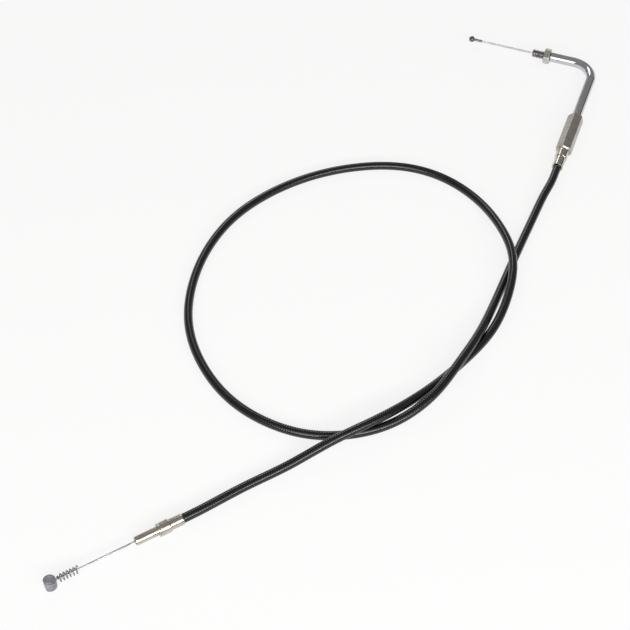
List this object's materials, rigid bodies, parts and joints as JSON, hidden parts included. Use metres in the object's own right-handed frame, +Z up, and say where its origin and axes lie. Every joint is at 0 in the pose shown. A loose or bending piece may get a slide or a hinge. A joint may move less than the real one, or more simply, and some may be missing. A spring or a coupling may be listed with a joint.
{
  "type": "motorcycle throttle control cable",
  "caption": "Throttle control cable in one loose loop: ribbed black casing, bent tube with stud, nut and hex adjuster, ball end, ferrule, spring and barrel nipple.",
  "frame": {"origin": "centre of the threaded stud's mouth, at the grip end", "axes": "+X out of the stud along its axis, +Y along the elbow's second leg towards the casing, +Z up, square to the plane that the cable lies in"},
  "size_m": [0.2219, 0.5833, 0.0143],
  "materials": {
    "jacket": "glossy black PVC with fine winding ribs",
    "spring_steel": "drawn",
    "liner_plastic": "moulded natural nylon",
    "wire": "stranded galvanised",
    "nickel": "bright nickel plate",
    "plated_steel": "zinc plated",
    "brass_washer": "stamped",
    "sleeve_nickel": "satin nickel plate",
    "chromed_tube": "mirror chrome plate",
    "stud_steel": "plated cut thread",
    "nut_zinc": "bright zinc plate",
    "ball_metal": "cast and plated",
    "cast_zinc": "grey die casting"
  },
  "bodies": {
    "casing": {"casing_jacket": "jacket", "casing_winding": "spring_steel", "casing_liner": "liner_plastic", "casing_core": "wire", "upper_ferrule": "nickel", "adjuster_screw": "plated_steel", "lower_ferrule": "nickel", "guide_tube": "nickel", "guide_bush": "liner_plastic"},
    "carrier": {"thrust_washer": "brass_washer"},
    "sleeve": {"adjuster_sleeve": "sleeve_nickel"},
    "elbow": {"elbow_tube": "chromed_tube", "threaded_stud": "stud_steel", "swivel_collar": "plated_steel", "elbow_liner": "liner_plastic", "elbow_core": "wire", "stud_bush": "liner_plastic"},
    "nut": {"lock_nut": "nut_zinc"},
    "grip_pull": {"grip_wire": "wire", "ball_collar": "ball_metal", "ball_end": "ball_metal"},
    "carb_pull": {"carb_wire": "wire", "return_spring": "spring_steel", "barrel_nipple": "cast_zinc"}
  },
  "joints": [
    {"name": "adjuster_travel", "type": "slide", "parent": "casing", "child": "carrier", "axis": [0, -1, 0], "range_m": [0, 0.01]},
    {"name": "adjuster_turn", "type": "hinge", "parent": "carrier", "child": "sleeve", "pos_m": [-0.0517, 0, 0], "axis": [0, 1, 0], "range_deg": [0, 3636]},
    {"name": "elbow_swivel", "type": "hinge", "parent": "carrier", "child": "elbow", "pos_m": [-0.0517, 0, 0], "axis": [0, 1, 0], "continuous": true},
    {"name": "lock_nut_turn", "type": "hinge", "parent": "elbow", "child": "nut", "pos_m": [0, 0, 0], "axis": [1, 0, 0], "continuous": true},
    {"name": "wire_pull", "type": "slide", "parent": "elbow", "child": "grip_pull", "axis": [1, 0, 0], "range_m": [0, 0.03]},
    {"name": "carb_wire_pull", "type": "slide", "parent": "casing", "child": "carb_pull", "axis": [-0.6293, -0.7771, 0], "range_m": [0, 0.03]}
  ],
  "couplings": [
    {"joint": "adjuster_turn", "follows": "adjuster_travel", "rad_per_m": 6283.2},
    {"joint": "carb_wire_pull", "follows": "wire_pull", "ratio": 1}
  ]
}
